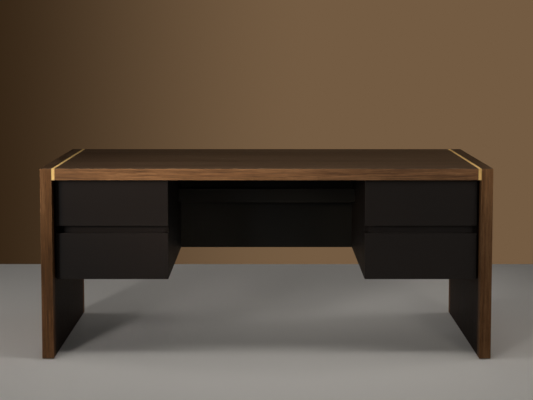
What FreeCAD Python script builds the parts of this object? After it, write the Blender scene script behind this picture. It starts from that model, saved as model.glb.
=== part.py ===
# Executive desk: two slab legs, a slab top held between them with brass strips, a modesty panel with a
# cable tray, and two hung pedestals of two handle-less drawers each.
# Millimetres. +X is to the right, +Y to the rear and +Z up. The origin is on the floor under the middle
# of the desk. The right-hand half is drawn, and what stands on the left is its mirror image.

import FreeCAD, Part
import math
import os
import re

import Sketcher

# Driving dimensions: name, value in millimetres, meaning
SIZES = (
    ("desk_width", 1780, "across the outer faces of the legs"),
    ("desk_depth", 890, "front edge to rear edge"),
    ("desk_height", 762, "floor to desk top"),
    ("leg_thickness", 46, "slab leg"),
    ("top_thickness", 46, "slab top"),
    ("slab_ease", 1.5, "rounding of the slabs' edges"),
    ("strip_width", 12, "brass strip between top and leg"),
    ("strip_ease", 0.6, "rounding of the brass strip's edges"),
    ("kneehole_width", 784, "clear width between the pedestals"),
    ("pedestal_clearance", 312, "floor to pedestal underside"),
    ("panel_thickness", 18, "pedestal sides and bottom"),
    ("cover_thickness", 15, "pedestal top panel"),
    ("front_setback", 60, "desk front edge to drawer front face"),
    ("front_thickness", 22, "drawer front"),
    ("front_ease", 1.2, "rounding of a drawer front's edges"),
    ("bumper_gap", 2, "closed drawer front to pedestal edge"),
    ("top_reveal", 4, "drawer front to top underside"),
    ("leg_gap", 6, "drawer front to leg"),
    ("pull_height", 30, "finger groove between the two fronts"),
    ("pull_recess", 45, "finger rail behind the front faces"),
    ("rail_thickness", 20, "finger rail, front to rear"),
    ("grip_edge", 12, "thickness left at a front's grip edge"),
    ("grip_height", 16, "height of the bevel behind a grip edge"),
    ("box_clearance", 9, "drawer box above the pedestal's bottom panel"),
    ("rim_clearance", 7, "drawer box rim below the pedestal's top panel"),
    ("rear_room", 168, "drawer box to modesty panel"),
    ("box_wall", 12, "drawer box sides and back"),
    ("box_bottom", 6, "drawer bottom panel"),
    ("groove_depth", 6, "housings and grooves of the drawer box"),
    ("groove_lift", 10, "box underside to bottom panel"),
    ("joint_play", 0.1, "glue gap in housings, grooves and holes"),
    ("slide_space", 13, "pedestal side to drawer box"),
    ("slide_height", 45, "cabinet member of a slide"),
    ("slide_inset", 4, "pedestal edge to slide"),
    ("box_overhang", 4, "drawer box behind its slides"),
    ("slide_sheet", 1.5, "sheet thickness of the slide members"),
    ("slide_play", 0.4, "running gap between slide members"),
    ("slide_tip_gap", 4, "cabinet member's flange tips to drawer box"),
    ("modesty_thickness", 18, "modesty panel"),
    ("modesty_inset", 12, "desk rear edge to modesty panel"),
    ("modesty_ease", 1, "rounding of the modesty panel's edges"),
    ("tray_board", 12, "floor and lip of the cable tray"),
    ("tray_ease", 1, "rounding of the tray lip's edges"),
    ("tray_depth", 200, "modesty panel to the tray's front face"),
    ("tray_lip", 60, "height of the tray's front lip"),
    ("tray_opening", 111, "tray lip to top underside"),
    ("tray_gap", 0.8, "tray end to pedestal"),
    ("glide_diameter", 34, "floor glide"),
    ("glide_height", 4, "floor to leg"),
    ("glide_ease", 1.5, "rounding of the glide's sole"),
    ("glide_inset", 45, "leg end to glide centre"),
    ("glide_shank", 8, "shank diameter"),
    ("glide_bite", 22, "shank length in the leg"),
    ("dowel_diameter", 12, "steel dowel through the brass strip"),
    ("dowel_bite", 20, "dowel length in the top and in the leg"),
    ("dowel_margin", 85, "desk edge to the outer dowels"),
    ("peg_diameter", 8, "wooden peg of the modesty panel"),
    ("peg_bite", 20, "peg length in the panel and in the leg"),
    ("peg_margin", 60, "modesty panel edge to the outer pegs"),
    ("hole_room", 1, "spare depth of a blind hole"),
    ("screw_shank", 5, "assembly screw"),
    ("screw_bite", 26, "screw length in the slab"),
    ("screw_head", 9, "screw head diameter"),
    ("screw_head_height", 3, "screw head height"),
    ("screw_margin", 110, "pedestal ends to the outer screws"),
    ("screw_row", 24, "pedestal top and bottom panels to the rows of leg screws"),
    ("tray_peg", 6, "wooden peg of the cable tray"),
    ("tray_peg_bite", 20, "tray peg length in the tray's floor"),
    ("tray_peg_in_panel", 12, "tray peg length in the modesty panel"),
    ("tray_peg_in_lip", 8, "tray peg length in the tray's lip"),
    ("tray_peg_margin", 70, "tray end to the outer pegs"),
    ("bumper_diameter", 6, "drawer bumper"),
    ("bumper_play", 0.2, "closed drawer front to bumper"),
    ("bumper_margin", 40, "front's plain edge to bumper"),
)

# Places that follow from the driving dimensions
DERIVED = {
    "front_edge": "-desk_depth / 2",
    "rear_edge": "desk_depth / 2",
    "underside": "desk_height - top_thickness",
    "leg_face": "desk_width / 2 - leg_thickness",
    "top_end": "leg_face - strip_width",
    "kneehole_face": "kneehole_width / 2",
    "bay_inner": "kneehole_face + panel_thickness",
    "bay_outer": "leg_face - panel_thickness",
    "bay_floor": "pedestal_clearance + panel_thickness",
    "bay_ceiling": "underside - cover_thickness",
    "front_plane": "front_edge + front_setback",
    "front_back": "front_plane + front_thickness",
    "carcass_front": "front_back + bumper_gap",
    "modesty_rear": "rear_edge - modesty_inset",
    "modesty_face": "modesty_rear - modesty_thickness",
    "rail_face": "front_plane + pull_recess",
    "front_inner": "kneehole_face",
    "front_outer": "leg_face - leg_gap",
    "front_height": "(underside - top_reveal - pedestal_clearance - pull_height) / 2",
    "lower_front": "pedestal_clearance",
    "upper_front": "pedestal_clearance + front_height + pull_height",
    "box_inner": "bay_inner + slide_space",
    "box_outer": "bay_outer - slide_space",
    "box_rear": "modesty_face - rear_room",
    "box_lift": "panel_thickness + box_clearance",
    "box_headroom": "cover_thickness - top_reveal + rim_clearance",
    "slide_front": "carcass_front + slide_inset",
    "slide_rear": "box_rear - box_overhang",
    "slide_step": "slide_sheet + slide_play",
    "tray_end": "kneehole_face - tray_gap",
    "tray_face": "modesty_face - tray_depth",
    "tray_front": "tray_face + tray_board",
    "tray_rim": "underside - tray_opening",
    "tray_floor": "tray_rim - tray_lip",
    "strip_middle": "desk_height - top_thickness / 2",
    "modesty_middle": "modesty_rear - modesty_thickness / 2",
    "leg_middle": "leg_face + leg_thickness / 2",
}

# Counts of repeated fasteners
DOWELS_PER_STRIP = 4
PEGS_PER_END = 3
SCREWS_PER_ROW = 3
TRAY_PEGS = 4

# Distance below which two places are the same
TOUCH = 0.001

doc = FreeCAD.newDocument("ExecutiveDesk")
nodes = {}


def fill_sheet():
    """Writes the driving dimensions into the sheet, one aliased cell each."""
    sheet = doc.addObject("Spreadsheet::Sheet", "Sizes")
    for row, (name, value, meaning) in enumerate(SIZES, start=1):
        sheet.set(f"A{row}", meaning)
        sheet.set(f"B{row}", str(value))
        sheet.setAlias(f"B{row}", name)
    doc.recompute()


def formula(text):
    """Writes each name in text as a cell of the sheet, with the derived names worked out."""

    def cell(match):
        name = match.group(0)
        if name in DERIVED:
            return "(" + formula(DERIVED[name]) + ")"
        return "Sizes." + name

    return re.sub(r"[a-z_]+", cell, text)


def bind(thing, prop, text):
    """Binds a property to a formula on the sheet."""
    thing.setExpression(prop, formula(text))


def spread(low, high, count):
    """Formulas of evenly spaced places from low to high."""
    return [f"{low} + {i} * ({high} - ({low})) / {count - 1}" for i in range(count)]


# Sketches and features


def new_body(label):
    """An empty body, which names its node."""
    body = doc.addObject("PartDesign::Body", label)
    body.Label = label
    return body


def sketch_on(body, role, level=None):
    """A sketch on one of the body's own planes, or parallel to it at a level along X, Y or Z."""
    sketch = body.newObject("Sketcher::SketchObject", "Outline")
    plane = next(item for item in body.Origin.OriginFeatures if item.Role == role)
    sketch.AttachmentSupport = [(plane, "")]
    sketch.MapMode = "FlatFace"
    if level:
        along_normal = f"-({level})" if points_to_minus(sketch) else level
        bind(sketch, "AttachmentOffset.Base.z", along_normal)
    return sketch


def pin(sketch, item, point, place):
    """Holds a point of a sketch at a pair of formulas from the sketch's origin."""
    for kind, text in zip(("DistanceX", "DistanceY"), place):
        number = sketch.addConstraint(Sketcher.Constraint(kind, -1, 1, item, point, 1.0))
        name = f"{kind}{item}"
        sketch.renameConstraint(number, name)
        bind(sketch, f"Constraints.{name}", text)


def add_outline(sketch, corners):
    """A closed outline of straight sides through corners, each a pair of formulas."""
    count = len(corners)
    turns = [2 * math.pi * i / count for i in range(count)]
    rough = [FreeCAD.Vector(math.cos(turn), math.sin(turn), 0) for turn in turns]
    sides = []
    for i in range(count):
        side = Part.LineSegment(rough[i], rough[(i + 1) % count])
        sides.append(sketch.addGeometry(side, False))
    for i, side in enumerate(sides):
        following = sides[(i + 1) % count]
        sketch.addConstraint(Sketcher.Constraint("Coincident", side, 2, following, 1))
    for side, corner in zip(sides, corners):
        pin(sketch, side, 1, corner)


def add_rectangle(sketch, across, up):
    """A rectangle between two formulas across and two up."""
    corners = [(across[0], up[0]), (across[1], up[0]), (across[1], up[1]), (across[0], up[1])]
    add_outline(sketch, corners)


def add_circles(sketch, centres, diameter):
    """Circles of one diameter at pairs of formulas."""
    for centre in centres:
        circle = Part.Circle(FreeCAD.Vector(1, 1, 0), FreeCAD.Vector(0, 0, 1), 1)
        item = sketch.addGeometry(circle, False)
        pin(sketch, item, 3, centre)
        number = sketch.addConstraint(Sketcher.Constraint("Diameter", item, 2.0))
        name = f"Diameter{item}"
        sketch.renameConstraint(number, name)
        bind(sketch, f"Constraints.{name}", diameter)


def add_pad(body, sketch, length, towards_minus=False):
    """Thickens a sketch along +X, +Y or +Z, or the other way."""
    pad = body.newObject("PartDesign::Pad", "Pad")
    pad.Profile = sketch
    bind(pad, "Length", length)
    pad.Reversed = points_to_minus(sketch) != towards_minus
    doc.recompute()
    return pad


def add_pocket(body, sketch, depth, towards_minus=False):
    """Cuts a sketch into the body along +X, +Y or +Z, or the other way."""
    before = body.Shape.Volume
    pocket = body.newObject("PartDesign::Pocket", "Pocket")
    pocket.Profile = sketch
    bind(pocket, "Length", depth)
    pocket.Reversed = points_to_minus(sketch) == towards_minus
    doc.recompute()
    if body.Shape.Volume >= before:
        raise RuntimeError(f"a cut in {body.Label} removes nothing")
    return pocket


def points_to_minus(sketch):
    """Whether a sketch's normal points along a negative axis, as on the XZ plane."""
    return sketch.AttachmentSupport[0][0].Role == "XZ_Plane"


def ease(body, feature, radius, chosen=None):
    """Rounds the edges whose bounding boxes are chosen, or every edge of a feature."""
    boxes = enumerate((edge.BoundBox for edge in feature.Shape.Edges), start=1)
    names = [f"Edge{number}" for number, box in boxes if not chosen or chosen(box)]
    fillet = body.newObject("PartDesign::Fillet", "Ease")
    fillet.Base = (feature, names)
    bind(fillet, "Radius", radius)
    doc.recompute()
    return fillet


def drill(body, role, level, centres, diameter, depth, towards_minus=False):
    """Round holes of one size into a body."""
    sketch = sketch_on(body, role, level)
    add_circles(sketch, centres, diameter)
    add_pocket(body, sketch, depth, towards_minus)


# Nodes


def keep(thing):
    """Makes an object a node of the desk."""
    nodes[thing.Label] = thing
    return thing


def board(label, across, deep, high, rounding=None):
    """A board between pairs of formulas along X, Y and Z."""
    body = new_body(label)
    sketch = sketch_on(body, "XY_Plane", high[0])
    add_rectangle(sketch, across, deep)
    pad = add_pad(body, sketch, f"{high[1]} - ({high[0]})")
    if rounding:
        ease(body, pad, rounding)
    return body


def mirrored(source, label):
    """The mirror image of an object on the other side of the desk."""
    image = doc.addObject("Part::Mirroring", label)
    image.Label = label
    image.Source = source
    image.Normal = FreeCAD.Vector(1, 0, 0)
    return image


def both_sides(source):
    """Keeps a right-hand node and its left-hand image."""
    keep(source)
    keep(mirrored(source, source.Label.replace("right_", "left_", 1)))


def group(label, *members):
    """Separate solids that share one node."""
    compound = doc.addObject("Part::Compound", label)
    compound.Label = label
    compound.Links = list(members)
    keep(compound)


def group_both_sides(label, source):
    """A node of right-hand solids and their left-hand images."""
    group(label, source, mirrored(source, source.Label + "_image"))


# Places of the fasteners

DOWEL_PLACES = [
    (y, "strip_middle")
    for y in spread("front_edge + dowel_margin", "rear_edge - dowel_margin", DOWELS_PER_STRIP)
]
PEG_PLACES = [
    ("modesty_middle", z)
    for z in spread("pedestal_clearance + peg_margin", "underside - peg_margin", PEGS_PER_END)
]
SCREW_DEPTHS = spread("carcass_front + screw_margin", "modesty_face - screw_margin", SCREWS_PER_ROW)
LEG_SCREW_PLACES = [
    (y, z) for z in ("bay_floor + screw_row", "bay_ceiling - screw_row") for y in SCREW_DEPTHS
]
TOP_SCREW_COLUMNS = ("bay_inner + screw_row", "bay_outer - screw_row")
TOP_SCREW_PLACES = [(x, y) for x in TOP_SCREW_COLUMNS for y in SCREW_DEPTHS]
GLIDE_PLACES = [("leg_middle", "front_edge + glide_inset"), ("leg_middle", "rear_edge - glide_inset")]
TRAY_PEG_PLACES = [
    (x, "tray_floor + tray_board / 2")
    for x in spread("-tray_end + tray_peg_margin", "tray_end - tray_peg_margin", TRAY_PEGS)
]
DOWEL_HOLE = "dowel_diameter + 2 * joint_play"
PEG_HOLE = "peg_diameter + 2 * joint_play"
SCREW_HOLE = "screw_shank + 2 * joint_play"
SCREW_SINK = "screw_head + 2 * joint_play"
TRAY_PEG_HOLE = "tray_peg + 2 * joint_play"


# Slabs and brass


def build_legs():
    """The slab legs, bored for dowels, pegs, screws and glides."""
    leg = board(
        "right_leg",
        ("leg_face", "desk_width / 2"),
        ("front_edge", "rear_edge"),
        ("glide_height", "desk_height"),
        "slab_ease",
    )
    drill(leg, "YZ_Plane", "leg_face", DOWEL_PLACES, DOWEL_HOLE, "dowel_bite + hole_room")
    drill(leg, "YZ_Plane", "leg_face", PEG_PLACES, PEG_HOLE, "peg_bite + hole_room")
    drill(leg, "YZ_Plane", "leg_face", LEG_SCREW_PLACES, SCREW_HOLE, "screw_bite + hole_room")
    shank_hole = "glide_shank + 2 * joint_play"
    drill(leg, "XY_Plane", "glide_height", GLIDE_PLACES, shank_hole, "glide_bite + hole_room")
    both_sides(leg)


def build_top():
    """The slab top between the brass strips, bored at both ends and underneath."""
    top = board(
        "desktop",
        ("-top_end", "top_end"),
        ("front_edge", "rear_edge"),
        ("underside", "desk_height"),
        "slab_ease",
    )
    depth = "dowel_bite + hole_room"
    drill(top, "YZ_Plane", "top_end", DOWEL_PLACES, DOWEL_HOLE, depth, towards_minus=True)
    drill(top, "YZ_Plane", "-top_end", DOWEL_PLACES, DOWEL_HOLE, depth)
    both_columns = TOP_SCREW_PLACES + [(f"-({x})", y) for x, y in TOP_SCREW_PLACES]
    drill(top, "XY_Plane", "underside", both_columns, SCREW_HOLE, "screw_bite + hole_room")
    keep(top)


def build_strips():
    """The brass strips, with the dowels that tie top, strip and leg together."""
    strip = board(
        "right_brass_strip",
        ("top_end", "leg_face"),
        ("front_edge", "rear_edge"),
        ("underside", "desk_height"),
        "strip_ease",
    )
    drill(strip, "YZ_Plane", "top_end", DOWEL_PLACES, DOWEL_HOLE, "strip_width")
    both_sides(strip)
    dowels = new_body("right_dowels")
    sketch = sketch_on(dowels, "YZ_Plane", "top_end - dowel_bite")
    add_circles(sketch, DOWEL_PLACES, "dowel_diameter")
    add_pad(dowels, sketch, "strip_width + 2 * dowel_bite")
    group_both_sides("strip_dowels", dowels)


def build_glides():
    """Round floor glides, each with a shank in the leg."""
    glides = new_body("right_glides")
    soles = sketch_on(glides, "XY_Plane")
    add_circles(soles, GLIDE_PLACES, "glide_diameter")
    pad = add_pad(glides, soles, "glide_height")
    ease(glides, pad, "glide_ease", lambda edge: edge.ZMax < TOUCH)
    shanks = sketch_on(glides, "XY_Plane", "glide_height / 2")
    add_circles(shanks, GLIDE_PLACES, "glide_shank")
    add_pad(glides, shanks, "glide_height / 2 + glide_bite")
    group_both_sides("leg_glides", glides)


# Modesty panel and cable tray


def build_modesty():
    """The panel across the back, pegged into the legs and closing the pedestals."""
    panel = board(
        "modesty_panel",
        ("-leg_face", "leg_face"),
        ("modesty_face", "modesty_rear"),
        ("pedestal_clearance", "underside"),
        "modesty_ease",
    )
    depth = "peg_bite + hole_room"
    drill(panel, "YZ_Plane", "leg_face", PEG_PLACES, PEG_HOLE, depth, towards_minus=True)
    drill(panel, "YZ_Plane", "-leg_face", PEG_PLACES, PEG_HOLE, depth)
    tray_depth = "tray_peg_in_panel + hole_room"
    drill(panel, "XZ_Plane", "modesty_face", TRAY_PEG_PLACES, TRAY_PEG_HOLE, tray_depth)
    keep(panel)
    pegs = new_body("right_pegs")
    sketch = sketch_on(pegs, "YZ_Plane", "leg_face - peg_bite")
    add_circles(sketch, PEG_PLACES, "peg_diameter")
    add_pad(pegs, sketch, "2 * peg_bite")
    group_both_sides("modesty_pegs", pegs)


def build_tray():
    """The cable tray's floor and front lip, pegged to each other and to the modesty panel."""
    across = ("-tray_end", "tray_end")
    thick = ("tray_floor", "tray_floor + tray_board")
    floor = board("cable_tray_floor", across, ("tray_front", "modesty_face"), thick)
    depth = "tray_peg_bite + hole_room"
    drill(floor, "XZ_Plane", "tray_front", TRAY_PEG_PLACES, TRAY_PEG_HOLE, depth)
    drill(floor, "XZ_Plane", "modesty_face", TRAY_PEG_PLACES, TRAY_PEG_HOLE, depth, towards_minus=True)
    keep(floor)
    high = ("tray_floor", "tray_rim")
    lip = board("cable_tray_lip", across, ("tray_face", "tray_front"), high, "tray_ease")
    depth = "tray_peg_in_lip + hole_room"
    drill(lip, "XZ_Plane", "tray_front", TRAY_PEG_PLACES, TRAY_PEG_HOLE, depth, towards_minus=True)
    keep(lip)
    pegs = new_body("tray_pegs")
    rows = (
        ("tray_front - tray_peg_in_lip", "tray_peg_in_lip + tray_peg_bite"),
        ("modesty_face - tray_peg_bite", "tray_peg_bite + tray_peg_in_panel"),
    )
    for level, length in rows:
        sketch = sketch_on(pegs, "XZ_Plane", level)
        add_circles(sketch, TRAY_PEG_PLACES, "tray_peg")
        add_pad(pegs, sketch, length)
    keep(pegs)


# Pedestals


def build_carcass():
    """The pedestal's fixed panels, screwed to the leg and to the top."""
    deep = ("carcass_front", "modesty_face")
    inside = ("bay_inner", "bay_outer")
    full_height = ("pedestal_clearance", "underside")
    inner = board("right_pedestal_inner_side", ("kneehole_face", "bay_inner"), deep, full_height)
    cut_finger_groove(inner, "kneehole_face")
    both_sides(inner)
    outer = board("right_pedestal_outer_side", ("bay_outer", "leg_face"), deep, full_height)
    cut_finger_groove(outer, "bay_outer")
    drill(outer, "YZ_Plane", "bay_outer", LEG_SCREW_PLACES, SCREW_HOLE, "panel_thickness")
    drill(outer, "YZ_Plane", "bay_outer", LEG_SCREW_PLACES, SCREW_SINK, "screw_head_height")
    both_sides(outer)
    both_sides(board("right_pedestal_bottom", inside, deep, ("pedestal_clearance", "bay_floor")))
    cover = board("right_pedestal_top", inside, deep, ("bay_ceiling", "underside"))
    drill(cover, "XY_Plane", "bay_ceiling", TOP_SCREW_PLACES, SCREW_HOLE, "cover_thickness")
    drill(cover, "XY_Plane", "bay_ceiling", TOP_SCREW_PLACES, SCREW_SINK, "screw_head_height")
    both_sides(cover)
    above_lower_box = "lower_front + front_height - box_headroom + rim_clearance"
    below_upper_box = "upper_front + box_lift - box_clearance"
    thick = ("rail_face", "rail_face + rail_thickness")
    both_sides(board("right_finger_rail", inside, thick, (above_lower_box, below_upper_box)))


def cut_finger_groove(side, face):
    """Carries the finger groove through the front edge of a pedestal side, back to the finger rail."""
    notch = sketch_on(side, "YZ_Plane", face)
    add_rectangle(notch, ("carcass_front", "rail_face"), ("lower_front + front_height", "upper_front"))
    add_pocket(side, notch, "panel_thickness")


def build_screws():
    """Screws from the pedestals into the legs and into the top, with sunk heads."""
    rows = (
        ("leg_screws", "YZ_Plane", "bay_outer", LEG_SCREW_PLACES, "panel_thickness"),
        ("top_screws", "XY_Plane", "bay_ceiling", TOP_SCREW_PLACES, "cover_thickness"),
    )
    for label, role, level, places, panel in rows:
        screws = new_body(f"right_{label}")
        shanks = sketch_on(screws, role, level)
        add_circles(shanks, places, "screw_shank")
        add_pad(screws, shanks, f"{panel} + screw_bite")
        heads = sketch_on(screws, role, level)
        add_circles(heads, places, "screw_head")
        add_pad(screws, heads, "screw_head_height")
        group_both_sides(label, screws)


def build_bumpers():
    """Small bumpers on the pedestal's front edges, two behind each drawer front."""
    inner_edge = "(front_inner + bay_inner) / 2"
    outer_edge = "(bay_outer + front_outer) / 2"
    low = "lower_front + bumper_margin"
    high = "upper_front + front_height - bumper_margin"
    places = [(x, z) for x in (inner_edge, outer_edge) for z in (low, high)]
    bumpers = new_body("right_bumpers")
    sketch = sketch_on(bumpers, "XZ_Plane", "carcass_front")
    add_circles(sketch, places, "bumper_diameter")
    add_pad(bumpers, sketch, "bumper_gap - bumper_play", towards_minus=True)
    group_both_sides("drawer_bumpers", bumpers)


# Drawers


def build_front(name, foot, grip_at_foot):
    """A drawer front with a bevelled grip edge, housed for the box sides and the bottom panel."""
    head = f"{foot} + front_height"
    if grip_at_foot:
        profile = [
            ("front_plane", foot),
            ("front_plane + grip_edge", foot),
            ("front_back", f"{foot} + grip_height"),
            ("front_back", head),
            ("front_plane", head),
        ]
    else:
        profile = [
            ("front_plane", foot),
            ("front_back", foot),
            ("front_back", f"{head} - grip_height"),
            ("front_plane + grip_edge", head),
            ("front_plane", head),
        ]
    front = new_body(f"{name}_front")
    section = sketch_on(front, "YZ_Plane", "front_inner")
    add_outline(section, profile)
    pad = add_pad(front, section, "front_outer - front_inner")
    ease(front, pad, "front_ease")
    housings = sketch_on(front, "XZ_Plane", "front_back")
    rim = f"{foot} + front_height - box_headroom + joint_play"
    up = (f"{foot} + box_lift - joint_play", rim)
    inner_wall = ("box_inner - joint_play", "box_inner + box_wall + joint_play")
    outer_wall = ("box_outer - box_wall - joint_play", "box_outer + joint_play")
    add_rectangle(housings, inner_wall, up)
    add_rectangle(housings, outer_wall, up)
    add_pocket(front, housings, "groove_depth", towards_minus=True)
    groove = sketch_on(front, "XZ_Plane", "front_back")
    clear = ("box_inner + box_wall", "box_outer - box_wall")
    add_rectangle(groove, clear, groove_height(foot))
    add_pocket(front, groove, "groove_depth", towards_minus=True)
    both_sides(front)


def groove_height(foot):
    """The lower and upper edge of the groove for a drawer's bottom panel."""
    lower = f"{foot} + box_lift + groove_lift"
    return (f"{lower} - joint_play", f"{lower} + box_bottom + joint_play")


def build_box(name, foot):
    """The drawer box: two sides and a back round a bottom panel in grooves."""
    low = f"{foot} + box_lift"
    rim = f"{foot} + front_height - box_headroom"
    deep = ("front_back - groove_depth + joint_play", "box_rear")
    inner = board(f"{name}_inner_wall", ("box_inner", "box_inner + box_wall"), deep, (low, rim))
    groove = sketch_on(inner, "YZ_Plane", "box_inner + box_wall")
    add_rectangle(groove, deep, groove_height(foot))
    add_pocket(inner, groove, "groove_depth", towards_minus=True)
    both_sides(inner)
    outer = board(f"{name}_outer_wall", ("box_outer - box_wall", "box_outer"), deep, (low, rim))
    groove = sketch_on(outer, "YZ_Plane", "box_outer - box_wall")
    add_rectangle(groove, deep, groove_height(foot))
    add_pocket(outer, groove, "groove_depth")
    both_sides(outer)
    across = (
        "box_inner + box_wall - groove_depth + joint_play",
        "box_outer - box_wall + groove_depth - joint_play",
    )
    lower = f"{low} + groove_lift"
    both_sides(board(f"{name}_bottom", across, deep, (lower, f"{lower} + box_bottom")))
    clear = ("box_inner + box_wall", "box_outer - box_wall")
    above = f"{lower} + box_bottom + joint_play"
    both_sides(board(f"{name}_back", clear, ("box_rear - box_wall", "box_rear"), (above, rim)))


def build_slides(name, foot):
    """The telescopic slides of one drawer: three nested channels on each side of the box."""
    middle = f"{foot} + (box_lift + front_height - box_headroom) / 2"
    tip = "slide_space - slide_tip_gap"
    members = (
        ("cabinet_rails", "0", tip, "slide_height / 2", False),
        ("middle_rails", "slide_step", f"{tip} + slide_step / 2", "slide_height / 2 - slide_step", False),
        ("drawer_rails", "2 * slide_step", "slide_space", "slide_height / 2 - 2 * slide_step", True),
    )
    for suffix, near, far, half, web_at_far in members:
        rails = new_body(f"{name}_{suffix}")
        sketch = sketch_on(rails, "XZ_Plane", "slide_front")
        for face, sign in (("bay_inner", "+"), ("bay_outer", "-")):
            add_outline(sketch, channel_corners(face, sign, near, far, half, middle, web_at_far))
        add_pad(rails, sketch, "slide_rear - slide_front")
        both_sides(rails)


def channel_corners(face, sign, near, far, half, middle, web_at_far):
    """Corners in X and Z of a C channel that reaches from near to far off a pedestal side."""
    web, tip = (far, near) if web_at_far else (near, far)
    inset = f"{far} - slide_sheet" if web_at_far else f"{near} + slide_sheet"
    inside = f"{half} - slide_sheet"
    steps = [
        (web, f"-({half})"),
        (tip, f"-({half})"),
        (tip, f"-({inside})"),
        (inset, f"-({inside})"),
        (inset, inside),
        (tip, inside),
        (tip, half),
        (web, half),
    ]
    return [(f"{face} {sign} ({x})", f"{middle} + ({z})") for x, z in steps]


def write_nodes():
    """Checks every object and writes each node's solids."""
    doc.recompute()
    for item in doc.Objects:
        if "Invalid" in item.State or "Error" in item.State:
            raise RuntimeError(f"{item.Label} failed: {item.getStatusString()}")
    for label, thing in nodes.items():
        if thing.Shape.isNull() or not thing.Shape.isValid() or not thing.Shape.Solids:
            raise RuntimeError(f"{label} has no valid solid")
    os.makedirs("parts", exist_ok=True)
    for label, thing in nodes.items():
        thing.Shape.exportStep(f"parts/{label}.step")
    print(f"{len(nodes)} nodes written")


def main():
    """Builds the desk and writes its nodes."""
    fill_sheet()
    build_legs()
    build_top()
    build_strips()
    build_glides()
    build_modesty()
    build_tray()
    build_carcass()
    build_screws()
    build_bumpers()
    for level, grip_at_foot in (("lower", False), ("upper", True)):
        foot = f"{level}_front"
        build_front(f"right_{level}_drawer", foot, grip_at_foot)
        build_box(f"right_{level}_drawer", foot)
        build_slides(f"right_{level}", foot)
    write_nodes()


main()
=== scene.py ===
"""Looks of the executive desk: finishes of its pieces, slide hardware, studio light and camera."""

import logging
import math
from dataclasses import dataclass
from enum import Enum
from typing import Dict, List, Optional, Sequence, Tuple, Union

import bmesh
import bpy
from mathutils import Matrix, Vector


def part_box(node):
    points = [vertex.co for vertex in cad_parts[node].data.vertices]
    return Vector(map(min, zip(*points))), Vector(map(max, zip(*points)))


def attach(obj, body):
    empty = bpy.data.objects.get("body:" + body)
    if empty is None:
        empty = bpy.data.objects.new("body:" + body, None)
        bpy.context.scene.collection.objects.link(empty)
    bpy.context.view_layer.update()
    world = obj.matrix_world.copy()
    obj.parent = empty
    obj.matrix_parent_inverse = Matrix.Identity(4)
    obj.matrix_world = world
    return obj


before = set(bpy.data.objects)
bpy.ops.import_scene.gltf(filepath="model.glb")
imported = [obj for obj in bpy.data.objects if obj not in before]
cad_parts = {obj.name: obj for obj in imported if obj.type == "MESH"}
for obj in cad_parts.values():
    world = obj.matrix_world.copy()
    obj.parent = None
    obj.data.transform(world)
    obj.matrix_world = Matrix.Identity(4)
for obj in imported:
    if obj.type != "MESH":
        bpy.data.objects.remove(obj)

LOG = logging.getLogger("executive_desk")
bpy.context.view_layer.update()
PICTURE_WIDTH = 533
PICTURE_HEIGHT = 400

Colour = Tuple[float, float, float, float]
Triple = Tuple[float, float, float]
Pair = Tuple[float, float]
Number = Union[float, "Value"]


def srgb(red: float, green: float, blue: float) -> Colour:
    """A linear colour from screen values of 0 to 255.

    Args:
        red: Red on the screen.
        green: Green on the screen.
        blue: Blue on the screen.

    Returns:
        The linear colour with an alpha of one.
    """

    def linear(screen: float) -> float:
        """One channel in linear light."""
        share = screen / 255.0
        return share / 12.92 if share <= 0.04045 else ((share + 0.055) / 1.055) ** 2.4

    return linear(red), linear(green), linear(blue), 1.0


class Axis(Enum):
    """An axis of the desk, given as the order of coordinates that puts it first."""

    X = (0, 1, 2)
    Y = (1, 2, 0)
    Z = (2, 0, 1)


class Side(Enum):
    """A side of the desk, with the sign of its X."""

    LEFT = -1
    RIGHT = 1

    @property
    def word(self) -> str:
        """The side's name in the nodes."""
        return self.name.lower()


class Level(Enum):
    """A drawer's place in its pedestal, with the direction from its middle to its grip edge."""

    UPPER = -1
    LOWER = 1

    @property
    def word(self) -> str:
        """The level's name in the nodes."""
        return self.name.lower()


@dataclass(frozen=True)
class Box:
    """The box round a node at rest, in metres."""

    low: Vector
    high: Vector

    @classmethod
    def of(cls, node: str) -> "Box":
        """The box of a node."""
        return cls(*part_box(node))

    @property
    def centre(self) -> Vector:
        """The middle of the box."""
        return (self.low + self.high) / 2

    @property
    def half(self) -> Vector:
        """Half the size of the box along each axis."""
        return (self.high - self.low) / 2


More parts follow.
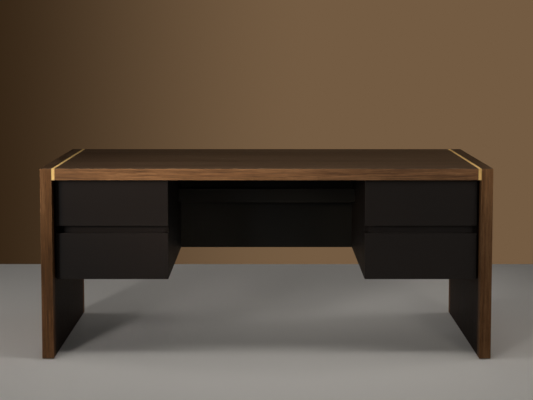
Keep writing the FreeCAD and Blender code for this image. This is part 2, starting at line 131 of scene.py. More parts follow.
class Value:
    """A shader socket on which plain arithmetic adds Math nodes."""

    def __init__(self, shader: "Shader", socket: bpy.types.NodeSocket) -> None:
        """Wraps an output socket of a shader."""
        self.shader = shader
        self.socket = socket

    def __add__(self, other: Number) -> "Value":
        """This value plus another."""
        return self.shader.math("ADD", self, other)

    def __radd__(self, other: Number) -> "Value":
        """A number plus this value."""
        return self.shader.math("ADD", other, self)

    def __sub__(self, other: Number) -> "Value":
        """This value less another."""
        return self.shader.math("SUBTRACT", self, other)

    def __rsub__(self, other: Number) -> "Value":
        """A number less this value."""
        return self.shader.math("SUBTRACT", other, self)

    def __mul__(self, other: Number) -> "Value":
        """This value times another."""
        return self.shader.math("MULTIPLY", self, other)

    def __rmul__(self, other: Number) -> "Value":
        """A number times this value."""
        return self.shader.math("MULTIPLY", other, self)

    def __truediv__(self, other: Number) -> "Value":
        """This value over another."""
        return self.shader.math("DIVIDE", self, other)

    def __abs__(self) -> "Value":
        """This value without its sign."""
        return self.shader.math("ABSOLUTE", self)

    def floor(self) -> "Value":
        """The whole number below this value."""
        return self.shader.math("FLOOR", self)

    def at_least(self, other: Number) -> "Value":
        """The larger of this value and another."""
        return self.shader.math("MAXIMUM", self, other)

    def swing(self, reach: float) -> "Value":
        """This noise, from 0 to 1, centred on 0 with a full swing of reach."""
        return (self - 0.5) * reach

    def smooth(self, start: float, end: float) -> "Value":
        """A smooth step from 0 at start to 1 at end.

        Args:
            start: Value at which the step begins.
            end: Value at which the step is done.

        Returns:
            The step, from 0 to 1.
        """
        if start > end:
            return 1 - self.smooth(end, start)
        settings = {"interpolation_type": "SMOOTHSTEP"}
        sockets = {"Value": self, "From Min": start, "From Max": end}
        return self.shader.node("ShaderNodeMapRange", settings, sockets)


class Shader:
    """The node tree of one material, filled by expressions."""

    def __init__(self, name: str) -> None:
        """Starts an empty material.

        Args:
            name: Name of the material.
        """
        self.material = bpy.data.materials.new(name)
        self.material.use_nodes = True
        self.tree = self.material.node_tree
        self.tree.nodes.clear()

    def node(
        self,
        kind: str,
        settings: Optional[Dict[str, object]] = None,
        sockets: Optional[Dict[Union[str, int], object]] = None,
        output: Union[str, int] = 0,
    ) -> Value:
        """Adds a node.

        Args:
            kind: The node's type.
            settings: Its properties, which are set first; stops are a ramp's places and colours.
            sockets: Values, or links from other nodes, of its inputs.
            output: The output that is wanted.

        Returns:
            That output.
        """
        made = self.tree.nodes.new(kind)
        for name, value in (settings or {}).items():
            if name == "stops":
                self._fill_ramp(made.color_ramp, value)
            else:
                setattr(made, name, value)
        for name, value in (sockets or {}).items():
            if isinstance(value, Value):
                self.tree.links.new(value.socket, made.inputs[name])
            else:
                made.inputs[name].default_value = value
        return Value(self, made.outputs[output])

    @staticmethod
    def _fill_ramp(ramp: bpy.types.ColorRamp, stops: Sequence[Tuple[float, Colour]]) -> None:
        """Gives a ramp its stops.

        Args:
            ramp: The ramp.
            stops: Places and colours, in rising order.
        """
        first, last = ramp.elements[0], ramp.elements[-1]
        first.position, first.color = stops[0]
        last.position, last.color = stops[-1]
        for place, colour in stops[1:-1]:
            ramp.elements.new(place).color = colour

    def math(self, operation: str, *operands: Number) -> Value:
        """A Math node on one or more values.

        Args:
            operation: The node's operation.
            operands: Its values, in order.

        Returns:
            The result.
        """
        return self.node("ShaderNodeMath", {"operation": operation}, dict(enumerate(operands)))

    def place(self) -> Value:
        """The point on the piece, in metres of the desk's frame."""
        return self.node("ShaderNodeTexCoord", output="Object")

    def parts(self, point: Value) -> List[Value]:
        """The three coordinates of a point."""
        split = self.node("ShaderNodeSeparateXYZ", None, {0: point})
        return [Value(self, socket) for socket in split.socket.node.outputs]

    def join(self, *coordinates: Number) -> Value:
        """A point from three coordinates."""
        return self.node("ShaderNodeCombineXYZ", None, dict(enumerate(coordinates)))

    def noise(
        self,
        point: Value,
        cells: Triple,
        shift: Triple = (0.0, 0.0, 0.0),
        detail: float = 2.0,
        roughness: float = 0.5,
    ) -> Value:
        """Soft noise at a point.

        Args:
            point: The point.
            cells: Cells of the noise in each metre, along each axis.
            shift: Cells by which the noise is moved along each axis.
            detail: Number of finer layers.
            roughness: Share of the finer layers.

        Returns:
            The noise, from 0 to 1.
        """
        mapping = {"Vector": point, "Location": shift, "Scale": cells}
        scaled = self.node("ShaderNodeMapping", None, mapping)
        sockets = {"Vector": scaled, "Scale": 1.0, "Detail": detail, "Roughness": roughness}
        return self.node("ShaderNodeTexNoise", None, sockets)

    def ramp(self, value: Value, *stops: Tuple[float, Colour]) -> Value:
        """A colour that follows a value through stops."""
        return self.node("ShaderNodeValToRGB", {"stops": stops}, {0: value})

    def blend(self, share: Number, first: object, second: object, how: str = "MIX") -> Value:
        """A colour between two colours.

        Args:
            share: Share of the second colour.
            first: The colour at a share of 0.
            second: The colour at a share of 1.
            how: The way of mixing.

        Returns:
            The mixed colour.
        """
        settings = {"data_type": "RGBA", "blend_type": how}
        return self.node("ShaderNodeMix", settings, {0: share, 6: first, 7: second}, 2)

    def relief(self, height: Value, depth: float, strength: float) -> Value:
        """A normal from a height map.

        Args:
            height: Height, from 0 to 1.
            depth: Distance in metres between the heights 0 and 1.
            strength: Share of the relief that shows.

        Returns:
            The normal.
        """
        sockets = {"Strength": strength, "Distance": depth, "Height": height}
        return self.node("ShaderNodeBump", None, sockets)

    def edges(self, box: Box, reach: float) -> Value:
        """A mask that is 1 on the edges of a box-shaped piece.

        Args:
            box: The piece's box.
            reach: Distance from the edge at which the mask ends, in metres.

        Returns:
            The mask.
        """
        depths = [
            half - abs(value - middle)
            for value, middle, half in zip(self.parts(self.place()), box.centre, box.half)
        ]
        deepest = depths[0].at_least(depths[1]).at_least(depths[2])
        return (depths[0] + depths[1] + depths[2] - deepest).smooth(reach, 0.0)

    def seen(self) -> Value:
        """A mask that is 1 for what the camera sees, also in a mirror or through glass.

        Returns:
            The mask.
        """
        rays = self.node("ShaderNodeLightPath").socket.node.outputs
        camera, glossy, through = (
            Value(self, rays[f"Is {kind} Ray"]) for kind in ("Camera", "Glossy", "Transmission")
        )
        return camera.at_least(glossy).at_least(through)

    def close(self, constants: Dict[str, object], links: Dict[str, Value]) -> bpy.types.Material:
        """Ends the material in a Principled shader.

        Args:
            constants: Values that are the same all over.
            links: What changes over the surface.

        Returns:
            The material.
        """
        self.output(self.node("ShaderNodeBsdfPrincipled", None, {**constants, **links}))
        return self.material

    def output(self, surface: Value) -> None:
        """Links a shader to the material's output."""
        end = self.tree.nodes.new("ShaderNodeOutputMaterial")
        self.tree.links.new(surface.socket, end.inputs["Surface"])


def drifted(seed: float, drift: Triple) -> Triple:
    """How far a piece's seed shifts its pattern along each axis."""
    return seed * drift[0], seed * drift[1], seed * drift[2]


@dataclass(frozen=True)
class Walnut:
    """Oiled walnut veneer with straight grain, in leaves across the depth of the desk.

    Cells are those of the noise in each metre, first along the grain and then across it. A skin gives
    the depths at which the look of a face begins and is full.
    """

    grain: Axis
    band: Optional[Axis] = None
    # The side given here is the leg whose inner face gets painted shade, a near-black colour multiplied
    # over it.
    shaded_inside: Optional[Side] = None
    shade: float = 1.0
    gloss: float = 0.22
    # Painted shade and painted sheen: a tint that darkens the upper faces and turns them greyer.
    top_tone: Colour = (0.42, 0.52, 0.72, 1.0)
    top_skin: Pair = (0.0020, 0.0009)
    drift: Triple = (1.7, 2.3, 3.1)
    leaf_width: float = 0.178
    leaf_jump: float = 5.0
    sway_cells: Triple = (1.1, 2.4, 2.4)
    sway_reach: float = 0.022
    figure_cells: Triple = (0.9, 21.0, 21.0)
    growth_cells: Triple = (5.0, 125.0, 125.0)
    fibre_cells: Triple = (16.0, 480.0, 480.0)
    pore_cells: Triple = (40.0, 1300.0, 1300.0)
    pore_depth: float = 0.0002
    rub_cells: Triple = (30.0, 60.0, 60.0)
    wear_reach: float = 0.0045
    # The margin and colour below set the painted shade on the legs' inner faces; it stops this far from the
    # front and rear edges.
    shade_margin: float = 0.046
    shade_margin_blur: float = 0.0006
    lining_skin: Pair = (0.0016, 0.0010)
    lining: Colour = (0.075, 0.050, 0.027, 1.0)
    dark: Colour = srgb(50, 32, 18)
    body: Colour = srgb(97, 65, 38)
    warm: Colour = srgb(117, 82, 52)
    pale: Colour = srgb(142, 106, 71)

    def make(self, name: str, box: Box, seed: float) -> bpy.types.Material:
        """The finish of one slab.

        Args:
            name: Name of the material.
            box: The slab's box.
            seed: Number that sets this slab's figure apart.

        Returns:
            The material.
        """
        shader = Shader(name)
        coordinates = shader.parts(shader.place())
        upper = coordinates[2].smooth(*(box.high.z - depth for depth in self.top_skin))
        run = [coordinates[i] for i in self.grain.value]
        if self.band:
            turned = [coordinates[i] for i in self.band.value]
            run = [plain + (other - plain) * upper for plain, other in zip(run, turned)]
        leaf = (coordinates[1] / self.leaf_width + seed).floor()
        pick = shader.node("ShaderNodeTexWhiteNoise", {"noise_dimensions": "1D"}, {"W": leaf})
        shift = drifted(seed, self.drift)
        bend = shader.noise(shader.join(*run), self.sway_cells, shift).swing(self.sway_reach)
        point = shader.join(run[0] + pick * self.leaf_jump, run[1] + bend, run[2] + bend)
        figure = shader.noise(point, self.figure_cells, shift, 3.0, 0.6)
        growth = shader.noise(point, self.growth_cells, shift, 4.0, 0.65)
        fibre = shader.noise(point, self.fibre_cells, shift)
        pores = shader.noise(point, self.pore_cells, shift, 1.0).smooth(0.58, 0.70)
        tone = 0.5 + figure.swing(0.6) + growth.swing(0.8) + fibre.swing(0.6) + pick.swing(0.10)
        stops = ((0.12, self.dark), (0.44, self.body), (0.62, self.warm), (0.92, self.pale))
        base = shader.blend(pores * 0.55, shader.ramp(tone, *stops), self.dark)
        # Painted shade and sheen on the upper faces, which are darkened and turned greyer; the other faces
        # are multiplied by the slab's shade.
        painted_light_tint = shader.blend(upper, (self.shade, self.shade, self.shade, 1.0), self.top_tone)
        base = shader.blend(1.0, base, painted_light_tint, "MULTIPLY")
        rub = shader.noise(point, self.rub_cells).smooth(0.3, 0.7)
        worn = shader.edges(box, self.wear_reach) * rub
        base = shader.blend(worn * 0.30, base, self.pale)
        # Painted shade: a near-black colour multiplied over the leg's inner face.
        if self.shaded_inside:
            base = shader.blend(self._stain(coordinates, box), base, self.lining, "MULTIPLY")
        links = {
            "Base Color": base,
            "Roughness": 0.54 + growth.swing(0.16) + pores * 0.18 - worn * 0.08,
            "Normal": shader.relief(fibre * 0.35 + (1 - pores) * 0.65, self.pore_depth, 0.45),
        }
        return shader.close({"IOR": 1.46, "Specular IOR Level": self.gloss}, links)

    def _stain(self, coordinates: Sequence[Value], box: Box) -> Value:
        """A mask that is 1 where painted shade darkens a leg's inner face.

        Args:
            coordinates: The three coordinates of the point.
            box: The leg's box.

        Returns:
            The mask, which ends short of the front and rear edges, where the walnut keeps its own colour.
        """
        inner = box.low.x if self.shaded_inside is Side.RIGHT else box.high.x
        skin = abs(coordinates[0] - inner).smooth(*self.lining_skin)
        depth = box.half.y - abs(coordinates[1] - box.centre.y)
        return skin * depth.smooth(self.shade_margin - self.shade_margin_blur, self.shade_margin + self.shade_margin_blur)


@dataclass(frozen=True)
class BlackLacquer:
    """Satin near-black lacquer over a close-grained panel, handled along its grip edge."""

    grain: Axis = Axis.X
    grip: Optional[Level] = None
    gloss: float = 0.2
    grip_reach: float = 0.05
    drift: Triple = (1.3, 2.9, 0.7)
    fibre_cells: Triple = (6.0, 380.0, 380.0)
    cloud_cells: Triple = (3.4, 3.4, 3.4)
    peel_cells: Triple = (240.0, 240.0, 240.0)
    peel_depth: float = 0.00012
    wear_reach: float = 0.0030
    deep: Colour = srgb(15, 10, 7)
    body: Colour = srgb(24, 17, 12)
    rubbed: Colour = srgb(58, 49, 42)

    def make(self, name: str, box: Box, seed: float) -> bpy.types.Material:
        """The finish of one panel.

        Args:
            name: Name of the material.
            box: The panel's box.
            seed: Number that sets this panel apart.

        Returns:
            The material.
        """
        shader = Shader(name)
        place = shader.place()
        coordinates = shader.parts(place)
        shift = drifted(seed, self.drift)
        point = shader.join(*(coordinates[i] for i in self.grain.value))
        fibre = shader.noise(point, self.fibre_cells, shift, 3.0, 0.6)
        cloud = shader.noise(place, self.cloud_cells, shift, 3.0)
        peel = shader.noise(place, self.peel_cells, shift)
        tone = 0.5 + fibre.swing(0.7) + cloud.swing(0.5)
        base = shader.ramp(tone, (0.2, self.deep), (0.8, self.body))
        worn = shader.edges(box, self.wear_reach) * peel.smooth(0.35, 0.65)
        base = shader.blend(worn * 0.35, base, self.rubbed)
        rough = 0.54 + cloud.swing(0.16) + fibre.swing(0.12) - worn * 0.05
        if self.grip:
            lip = box.low.z if self.grip is Level.UPPER else box.high.z
            touch = abs(coordinates[2] - lip).smooth(self.grip_reach, 0.0)
            rough = rough - touch * cloud.smooth(0.42, 0.62) * 0.09
        links = {
            "Base Color": base,
            "Roughness": rough,
            "Normal": shader.relief(peel * 0.4 + fibre * 0.6, self.peel_depth, 0.35),
        }
        return shader.close({"IOR": 1.5, "Specular IOR Level": self.gloss}, links)


@dataclass(frozen=True)
class BrushedBrass:
    """Lacquered brass, brushed along the strip and upright on its front end, lightly tarnished."""

    front_skin: Pair = (0.0010, 0.0002)
    drift: Triple = (1.0, 2.1, 0.4)
    lengthwise_cells: Triple = (1700.0, 7.0, 1700.0)
    upright_cells: Triple = (1700.0, 1700.0, 14.0)
    brush_depth: float = 0.00005
    film_cells: Triple = (9.0, 4.0, 9.0)
    wear_reach: float = 0.0014
    # Painted reflection: a lighter gold that every face but the front is blended towards.
    painted_reflection: Colour = srgb(250, 208, 130)
    bright: Colour = srgb(230, 189, 117)
    tarnished: Colour = srgb(187, 142, 80)

    def make(self, name: str, box: Box, seed: float) -> bpy.types.Material:
        """The finish of one strip.

        Args:
            name: Name of the material.
            box: The strip's box.
            seed: Number that sets this strip apart.

        Returns:
            The material.
        """
        shader = Shader(name)
        place = shader.place()
        front = shader.parts(place)[1].smooth(*(box.low.y + depth for depth in self.front_skin))
        shift = drifted(seed, self.drift)
        lengthwise = shader.noise(place, self.lengthwise_cells, shift)
        upright = shader.noise(place, self.upright_cells, shift)
        brush = lengthwise + (upright - lengthwise) * front
        film = shader.noise(place, self.film_cells, shift, 4.0, 0.6)
        base = shader.blend(film.smooth(0.42, 0.78) * 0.6, self.bright, self.tarnished)
        worn = shader.edges(box, self.wear_reach)
        base = shader.blend(worn * 0.4, base, self.bright)
        # Painted reflection on all but the front face, which is also made less metallic below so that it
        # reads lighter.
        base = shader.blend((1 - front) * 0.9, base, self.painted_reflection)
        links = {
            "Base Color": base,
            "Roughness": 0.42 + brush.swing(0.30) + film.swing(0.16) - worn * 0.06,
            "Metallic": 0.22 + front * 0.46,
            "Normal": shader.relief(brush, self.brush_depth, 0.5),
        }
        return shader.close({}, links)


@dataclass(frozen=True)
class BirchPly:
    """Clear-lacquered birch ply, with its layers on the cut edges."""

    thick: Axis
    grain: Axis = Axis.Y
    layers: int = 7
    face_share: float = 0.001
    drift: Triple = (2.7, 1.1, 3.3)
    figure_cells: Triple = (1.6, 26.0, 26.0)
    fibre_cells: Triple = (12.0, 420.0, 420.0)
    fibre_depth: float = 0.00012
    pale: Colour = srgb(208, 178, 136)
    body: Colour = srgb(188, 154, 112)
    cross: Colour = srgb(142, 106, 70)

    def make(self, name: str, box: Box, seed: float) -> bpy.types.Material:
        """The finish of one board of a drawer box, or of a peg.

        Args:
            name: Name of the material.
            box: The board's box.
            seed: Number that sets this board apart.

        Returns:
            The material.
        """
        shader = Shader(name)
        coordinates = shader.parts(shader.place())
        axis = self.thick.value[0]
        span = box.high[axis] - box.low[axis]
        inside = 1 - 2 * self.face_share
        depth = (coordinates[axis] - box.low[axis]) / span * inside + self.face_share
        odd = shader.math("MODULO", (depth * float(self.layers)).floor(), 2.0)
        shift = drifted(seed, self.drift)
        point = shader.join(*(coordinates[i] for i in self.grain.value))
        figure = shader.noise(point, self.figure_cells, shift, 3.0, 0.55)
        fibre = shader.noise(point, self.fibre_cells, shift)
        tone = 0.5 + figure.swing(0.9) + fibre.swing(0.6)
        base = shader.ramp(tone, (0.2, self.body), (0.8, self.pale))
        links = {
            "Base Color": shader.blend(odd * 0.7, base, self.cross),
            "Roughness": 0.42 + fibre.swing(0.2) + odd * 0.14,
            "Normal": shader.relief(fibre, self.fibre_depth, 0.35),
        }
        return shader.close({"IOR": 1.46, "Specular IOR Level": 0.4}, links)


@dataclass(frozen=True)
class ZincSteel:
    """Rolled steel with a zinc plating, for slides, screws and dowels."""

    drift: Triple = (1.0, 1.9, 0.6)
    roll_cells: Triple = (800.0, 9.0, 800.0)
    roll_depth: float = 0.00005
    bloom_cells: Triple = (120.0, 40.0, 120.0)
    bright: Colour = srgb(188, 190, 194)
    dull: Colour = srgb(146, 148, 153)

    def make(self, name: str, box: Box, seed: float) -> bpy.types.Material:
        """The finish of one piece of hardware.

        Args:
            name: Name of the material.
            box: The piece's box, which this finish doesn't need.
            seed: Number that sets this piece apart.

        Returns:
            The material.
        """
        shader = Shader(name)
        place = shader.place()
        shift = drifted(seed, self.drift)
        roll = shader.noise(place, self.roll_cells, shift)
        bloom = shader.noise(place, self.bloom_cells, shift, 3.0, 0.6)
        links = {
            "Base Color": shader.blend(bloom.smooth(0.3, 0.7), self.dull, self.bright),
            "Roughness": 0.33 + roll.swing(0.28) + bloom.swing(0.14),
            "Normal": shader.relief(roll, self.roll_depth, 0.4),
        }
        return shader.close({"Metallic": 1.0}, links)


@dataclass(frozen=True)
class Moulded:
    """Moulded nylon or rubber with a fine matte skin."""

    body: Colour
    scuffed: Colour
    gloss_loss: float
    skin_cells: Triple = (900.0, 900.0, 900.0)
    skin_depth: float = 0.0001
    scuff_cells: Triple = (140.0, 140.0, 60.0)

    def make(self, name: str, box: Box, seed: float) -> bpy.types.Material:
        """The finish of one moulded piece.

        Args:
            name: Name of the material.
            box: The piece's box, which this finish doesn't need.
            seed: Number that sets this piece apart.

        Returns:
            The material.
        """
        shader = Shader(name)
        place = shader.place()
        skin = shader.noise(place, self.skin_cells, (seed, 0.0, 0.0))
        scuff = shader.noise(place, self.scuff_cells, (0.0, seed, 0.0), 3.0)
        links = {
            "Base Color": shader.blend(scuff.smooth(0.5, 0.8) * 0.5, self.body, self.scuffed),
            "Roughness": self.gloss_loss + skin.swing(0.2),
            "Normal": shader.relief(skin, self.skin_depth, 0.4),
        }
        return shader.close({"IOR": 1.5}, links)


Finish = Union[Walnut, BlackLacquer, BrushedBrass, BirchPly, ZincSteel, Moulded]

PANEL_LACQUER = BlackLacquer()
# Painted shade: a darker, less glossy copy of the panel lacquer, grained along the depth, for the
# pedestals' sides.
SIDE_SHADE_LACQUER = BlackLacquer(Axis.Y, deep=srgb(13, 9, 6), body=srgb(20, 14, 10), gloss=0.11)
# Painted shade: a darker, less glossy copy of the panel lacquer for the modesty panel and cable tray at the
# back of the kneehole.
KNEEHOLE_SHADE_LACQUER = BlackLacquer(deep=srgb(10, 8, 5), body=srgb(18, 15, 10), gloss=0.13)
GLIDE_NYLON = Moulded(srgb(22, 22, 22), srgb(58, 56, 53), 0.52)
BUMPER_RUBBER = Moulded(srgb(70, 70, 68), srgb(104, 102, 98), 0.66)


def dress(node: str, finish: Finish, seed: float) -> None:
    """Gives a node its finish.

    Args:
        node: Name of the node.
        finish: What it is finished in.
        seed: Number that sets this node's pattern apart.
    """
    material = finish.make(f"{node}_finish", Box.of(node), seed)
    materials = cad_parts[node].data.materials
    if materials:
        materials[0] = material
    else:
        materials.append(material)
    LOG.info("%s is finished in %s", node, type(finish).__name__)


@dataclass
class SlabFrame:
    """The slab legs and top, with the brass strips, dowels, screws and glides."""

    top_shade: float = 0.96
    # Both legs are a darker leaf than the desktop; the left one is lighter and the right one darker as
    # painted light and shade.
    left_shade: float = 0.80
    right_shade: float = 0.66
    leg_gloss: float = 0.07
    top_seed: float = 0.37
    leg_seed: float = 1.5
    leg_seed_step: float = 3.4
    brass_seed: float = 1.2
    fitting_seed: float = 3.0
    fitting_seed_step: float = 0.4
    glide_seed: float = 1.0

    def dress(self) -> None:
        """Finishes the slabs, the brass and the fittings between them."""
        # The desktop's upper face takes the walnut's painted shade and sheen.
        dress("desktop", Walnut(Axis.X, shade=self.top_shade), self.top_seed)
        for number, side in enumerate(Side):
            # Painted light and shade: the left leg is made lighter than the right.
            shade = self.left_shade if side is Side.LEFT else self.right_shade
            # Each leg's inner face gets painted shade.
            leg = Walnut(Axis.Z, band=Axis.Y, shaded_inside=side, shade=shade, gloss=self.leg_gloss)
            dress(f"{side.word}_leg", leg, self.leg_seed + self.leg_seed_step * number)
            dress(f"{side.word}_brass_strip", BrushedBrass(), self.brass_seed + number)
        for number, fittings in enumerate(("strip_dowels", "leg_screws", "top_screws")):
            dress(fittings, ZincSteel(), self.fitting_seed + self.fitting_seed_step * number)
        dress("leg_glides", GLIDE_NYLON, self.glide_seed)


@dataclass
class BackPanels:
    """The modesty panel and the cable tray on it."""

    panel_seed: float = 4.0
    peg_seed: float = 5.0

    def dress(self) -> None:
        """Finishes the panel, the tray and their pegs."""
        # The panel and the tray take the lacquer with painted shade.
        for number, node in enumerate(("modesty_panel", "cable_tray_floor", "cable_tray_lip")):
            dress(node, KNEEHOLE_SHADE_LACQUER, self.panel_seed + number)
        pegs = {"modesty_pegs": Axis.X, "tray_pegs": Axis.Y}
        for number, (node, axis) in enumerate(pegs.items()):
            dress(node, BirchPly(axis, axis, layers=1), self.peg_seed + number)


@dataclass
class Pedestal:
    """The fixed panels of one pedestal and the slide members on them."""

    side: Side
    seed: float = 7.0
    side_seed_step: float = 5.5
    rail_seed: float = 2.0

    def dress(self) -> None:
        """Finishes the panels, the finger rail and the cabinet members."""
        word = self.side.word
        # The sides take the lacquer with painted shade.
        panels = {
            "pedestal_inner_side": SIDE_SHADE_LACQUER,
            "pedestal_outer_side": SIDE_SHADE_LACQUER,
            "pedestal_bottom": PANEL_LACQUER,
            "pedestal_top": PANEL_LACQUER,
            "finger_rail": PANEL_LACQUER,
        }
        seed = self.seed + self.side_seed_step * self.side.value
        for number, (panel, finish) in enumerate(panels.items()):
            dress(f"{word}_{panel}", finish, seed + number)
        for level in Level:
            dress(f"{word}_{level.word}_cabinet_rails", ZincSteel(), self.rail_seed + level.value)


@dataclass
class DrawerStops:
    """The soft bumpers that the drawer fronts close on."""

    seed: float = 2.0

    def dress(self) -> None:
        """Finishes the bumpers."""
        dress("drawer_bumpers", BUMPER_RUBBER, self.seed)


@dataclass
class Drawer:
    """One drawer: its front, box, slide members and the screws of its rails."""

    side: Side
    level: Level
    rail_sheet: float = 0.0015
    head_radius: float = 0.0042
    head_height: float = 0.0018
    head_rounding: float = 0.45
    recess_depth: float = 0.0011
    recess_share: float = 0.52
    screw_places: Tuple[float, ...] = (0.035, 0.131, 0.227)
    seed: float = 11.0
    side_seed_step: float = 2.7
    level_seed_step: float = 1.3
    board_seed_step: float = 0.61
    screw_seed: float = 9.0

    @property
    def name(self) -> str:
        """The drawer's side and level, as its nodes begin."""
        return f"{self.side.word}_{self.level.word}"

    def dress(self) -> None:
        """Finishes the front, the box and the slide members."""
        seed = self.seed + self.side_seed_step * self.side.value
        seed += self.level_seed_step * self.level.value
        boards = {
            "drawer_front": BlackLacquer(grip=self.level),
            "drawer_inner_wall": BirchPly(Axis.X),
            "drawer_outer_wall": BirchPly(Axis.X),
            "drawer_back": BirchPly(Axis.Y, Axis.X),
            "drawer_bottom": BirchPly(Axis.Z, layers=5),
            "drawer_rails": ZincSteel(),
            "middle_rails": ZincSteel(),
        }
        for number, (board, finish) in enumerate(boards.items()):
            dress(f"{self.name}_{board}", finish, seed + self.board_seed_step * number)

    def build_screws(self) -> bpy.types.Object:
        """The pan-head screws that hold the drawer members to the box.

        Returns:
            The piece with all heads of this drawer.
        """
        rails = Box.of(f"{self.name}_drawer_rails")
        walls = [Box.of(f"{self.name}_drawer_{wall}_wall") for wall in ("inner", "outer")]
        shell = bmesh.new()
        for wall in walls:
            outwards = 1.0 if wall.centre.x > rails.centre.x else -1.0
            face = wall.high.x if outwards > 0 else wall.low.x
            for distance in self.screw_places:
                spot = Vector((face + outwards * self.rail_sheet, rails.low.y + distance, rails.centre.z))
                self._add_head(shell, spot, outwards)
        piece = finished_piece(f"{self.name}_rail_screws", shell)
        steel = ZincSteel().make(f"{self.name}_rail_screws_finish", rails, self.screw_seed)
        piece.data.materials.append(steel)
        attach(piece, f"{self.name}_drawer")
        return piece

    def _add_head(self, shell: bmesh.types.BMesh, spot: Vector, outwards: float) -> None:
        """Adds a pan head with a cross recess to a mesh.

        Args:
            shell: The mesh.
            spot: Middle of the head's seat.
            outwards: Sign of X on the head's outer side.
        """
        head = bmesh.new()
        side = self.head_radius * self.recess_share
        bmesh.ops.create_grid(head, x_segments=3, y_segments=3, size=side)
        middles = {face: face.calc_center_median() for face in head.faces}
        # The arms of the cross are the cells of the grid with their middle on an axis
        near = side / 10
        cross = [face for face, middle in middles.items() if min(abs(middle.x), abs(middle.y)) < near]
        rim = [edge for edge in head.edges if edge.is_boundary]
        circle = bmesh.ops.create_circle(head, segments=len(rim), radius=self.head_radius)["verts"]
        corner = Matrix.Rotation(math.radians(45.0), 3, "Z")
        bmesh.ops.rotate(head, verts=circle, matrix=corner)
        ring = list(dict.fromkeys(edge for vertex in circle for edge in vertex.link_edges))
        bmesh.ops.bridge_loops(head, edges=rim + ring)
        sunk = bmesh.ops.extrude_face_region(head, geom=cross)["geom"]
        bmesh.ops.delete(head, geom=cross, context="FACES_ONLY")
        floor = [item for item in sunk if isinstance(item, bmesh.types.BMVert)]
        bmesh.ops.translate(head, verts=floor, vec=(0.0, 0.0, -self.recess_depth))
        border = [edge for edge in head.edges if edge.is_boundary]
        skirt = bmesh.ops.extrude_edge_only(head, edges=border)["geom"]
        foot = [item for item in skirt if isinstance(item, bmesh.types.BMVert)]
        bmesh.ops.translate(head, verts=foot, vec=(0.0, 0.0, -self.head_height))
        rounding = self.head_height * self.head_rounding
        bmesh.ops.bevel(
            head, geom=border, offset=rounding, offset_type="OFFSET", segments=2, profile=0.5,
            affect="EDGES", material=-1,
        )
        bmesh.ops.recalc_face_normals(head, faces=head.faces)
        turn = Matrix.Rotation(math.radians(90.0) * outwards, 4, "Y")
        lift = Matrix.Translation(spot + Vector((outwards * self.head_height, 0.0, 0.0)))
        bmesh.ops.transform(head, matrix=lift @ turn, verts=head.verts)
        part = bpy.data.meshes.new("head")
        head.to_mesh(part)
        head.free()
        shell.from_mesh(part)
        bpy.data.meshes.remove(part)


def finished_piece(name: str, shell: bmesh.types.BMesh) -> bpy.types.Object:
    """An object at the origin from a finished mesh.

    Args:
        name: Name of the piece.
        shell: Its mesh, which is used up.

    Returns:
        The object, in the scene.
    """
    mesh = bpy.data.meshes.new(name)
    shell.to_mesh(mesh)
    shell.free()
    piece = bpy.data.objects.new(name, mesh)
    bpy.context.scene.collection.objects.link(piece)
    return piece


@dataclass(frozen=True)
class SoftBox:
    """A studio light with a soft face, turned to a point."""

    name: str
    place: Triple
    aim: Triple
    size: Pair
    power: float
    tint: Triple = (1.0, 1.0, 1.0)
    spread: float = 180.0
    mirrored: bool = True

    def add(self) -> None:
        """Hangs the light in the scene."""
        light = bpy.data.lights.new(self.name, "AREA")
        light.shape = "RECTANGLE"
        light.size, light.size_y = self.size
        light.energy = self.power
        light.color = self.tint
        light.spread = math.radians(self.spread)
        lamp = bpy.data.objects.new(self.name, light)
        lamp.location = self.place
        lamp.rotation_euler = (Vector(self.aim) - Vector(self.place)).to_track_quat("-Z", "Y").to_euler()
        lamp.visible_camera = False
        lamp.visible_glossy = self.mirrored
        bpy.context.scene.collection.objects.link(lamp)


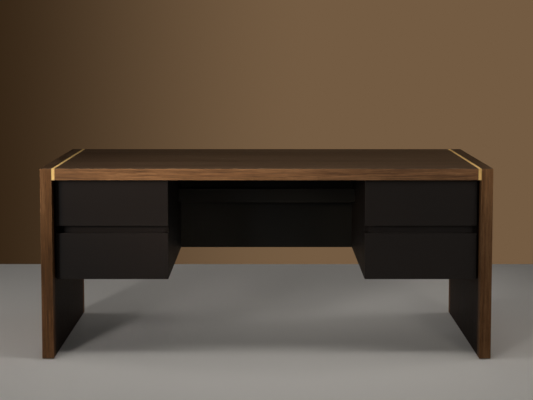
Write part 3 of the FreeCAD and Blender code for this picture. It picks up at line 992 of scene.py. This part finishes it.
@dataclass
class Studio:
    """Floor, backdrop, light and camera."""

    floor_reach: float = 40.0
    wall_distance: float = 1.75
    wall_height: float = 9.0
    floor_seen: Colour = srgb(208, 203, 196)
    floor_bounce: Colour = srgb(102, 97, 91)
    wall_dim: Colour = srgb(50, 35, 20)
    wall_lit: Colour = srgb(115, 91, 66)
    wall_fade: Pair = (-1.7, 0.3)
    room_light: Colour = (0.04, 0.04, 0.04, 1.0)
    warm_tint: Triple = (1.0, 0.95, 0.88)
    camera_place: Triple = (0.0, -5.623, 1.2872)
    camera_tilt: float = 4.988
    focal_pixels: float = 1327.34
    principal_row: float = 150.0
    sensor: float = 36.0

    def build(self) -> None:
        """Sets up everything round the desk."""
        self._floor()
        self._wall()
        self._world()
        for light in self._lights():
            light.add()
        self._camera()
        bpy.context.scene.view_settings.view_transform = "Standard"

    def _lights(self) -> Tuple[SoftBox, ...]:
        """The lights of the studio.

        Returns:
            The soft boxes, not yet in the scene.
        """
        spot = {"size": (0.5, 0.35), "mirrored": False}
        fill = {"spread": 70.0, "mirrored": False}
        side_fill = {"size": (1.8, 1.2), "power": 9.5, **fill}
        warm = {"tint": self.warm_tint}
        return (
            SoftBox("key", (-1.75, -2.3, 1.12), (-0.43, -0.4, 0.97), power=5.6, spread=40.0, **spot),
            SoftBox(
                "right_key", (1.9, -2.3, 1.12), (1.12, -0.4, 0.97), power=1.2, spread=20.0, **spot, **warm
            ),
            SoftBox("leg_beam", (-2.3, -5.2, 0.9), (-0.87, -0.44, 0.12), power=0.17, spread=7.0, **spot),
            SoftBox("left_panel", (-2.95, -6.6, 2.4), (0.0, -0.4, 0.6), size=(0.8, 3.2), power=140.0),
            SoftBox(
                "right_panel", (2.2, -6.0, 2.2), (1.0, -0.4, 0.5), size=(1.0, 3.2), power=2.7, spread=30.0,
                **warm,
            ),
            SoftBox("kneehole_beam", (0.35, -5.2, 0.9), (-0.3, 0.4, 0.4), power=0.30, spread=6.0, **spot),
            SoftBox(
                "edge_strip", (0.0, -0.6, 1.35), (0.0, -0.59, 0.0), size=(2.6, 0.2), power=5.8, spread=160.0
            ),
            SoftBox("ceiling", (0.0, -0.3, 3.4), (0.0, -0.2, 0.0), size=(3.6, 2.4), power=0.6),
            SoftBox("left_fill", (-4.2, 0.6, 0.7), (-0.8, 0.1, 0.4), **side_fill),
            SoftBox("right_fill", (4.2, 0.6, 0.7), (0.8, 0.1, 0.4), **side_fill),
            SoftBox("rear_fill", (0.0, 5.0, 0.7), (0.0, 0.4, 0.4), size=(3.0, 1.2), power=18.0, **fill),
        )

    def _floor(self) -> None:
        """The plain pale floor, which the lamps' bounce sees as a darker one."""
        shell = bmesh.new()
        bmesh.ops.create_grid(shell, x_segments=1, y_segments=1, size=self.floor_reach)
        floor = finished_piece("floor", shell)
        shader = Shader("floor_finish")
        tone = shader.blend(shader.seen(), self.floor_bounce, self.floor_seen)
        paint = shader.close({"Roughness": 0.9, "Specular IOR Level": 0.1}, {"Base Color": tone})
        floor.data.materials.append(paint)

    def _wall(self) -> None:
        """The backdrop, which glows with painted light that fades from dim at the left to lit at the right;
        only what looks at its front sees it.
        """
        shell = bmesh.new()
        bmesh.ops.create_grid(shell, x_segments=1, y_segments=1, size=1.0)
        stand = Matrix.Rotation(math.radians(90.0), 4, "X")
        widen = Matrix.Diagonal((self.floor_reach, 1.0, self.wall_height / 2, 1.0))
        lift = Matrix.Translation((0.0, self.wall_distance, self.wall_height / 2))
        bmesh.ops.transform(shell, matrix=lift @ widen @ stand, verts=shell.verts)
        wall = finished_piece("backdrop", shell)
        shader = Shader("backdrop_finish")
        behind = shader.node("ShaderNodeNewGeometry", output="Backfacing")
        seen = shader.seen() * (1 - behind)
        clear = shader.node("ShaderNodeBsdfTransparent")
        # Painted light: the glow fades from dim at the left to lit at the right.
        fade = shader.parts(shader.place())[0].smooth(*self.wall_fade)
        tone = shader.blend(fade, self.wall_dim, self.wall_lit)
        plain = {"Base Color": (0.0, 0.0, 0.0, 1.0), "Specular IOR Level": 0.0, "Emission Strength": 1.0}
        screen = shader.node("ShaderNodeBsdfPrincipled", None, {**plain, "Emission Color": tone})
        shader.output(shader.node("ShaderNodeMixShader", None, {0: seen, 1: clear, 2: screen}))
        wall.data.materials.append(shader.material)

    def _world(self) -> None:
        """The soft light of the room."""
        world = bpy.data.worlds.new("room")
        world.use_nodes = True
        world.node_tree.nodes["Background"].inputs["Color"].default_value = self.room_light
        bpy.context.scene.world = world

    def _camera(self) -> None:
        """The camera at the photograph's viewing angle."""
        lens = bpy.data.cameras.new("camera")
        lens.sensor_fit = "HORIZONTAL"
        lens.sensor_width = self.sensor
        lens.lens = self.focal_pixels * self.sensor / PICTURE_WIDTH
        lens.shift_y = (self.principal_row - PICTURE_HEIGHT / 2) / PICTURE_WIDTH
        camera = bpy.data.objects.new("camera", lens)
        camera.location = self.camera_place
        camera.rotation_euler = (math.radians(90.0 - self.camera_tilt), 0.0, 0.0)
        bpy.context.scene.collection.objects.link(camera)
        bpy.context.scene.camera = camera


def main() -> None:
    """Builds the studio, then dresses the desk."""
    logging.basicConfig(level=logging.INFO, format="%(name)s: %(message)s")
    Studio().build()
    SlabFrame().dress()
    BackPanels().dress()
    DrawerStops().dress()
    for side in Side:
        Pedestal(side).dress()
        for level in Level:
            drawer = Drawer(side, level)
            drawer.dress()
            LOG.info("%s rides on its drawer", drawer.build_screws().name)


if __name__ == "__main__":
    main()
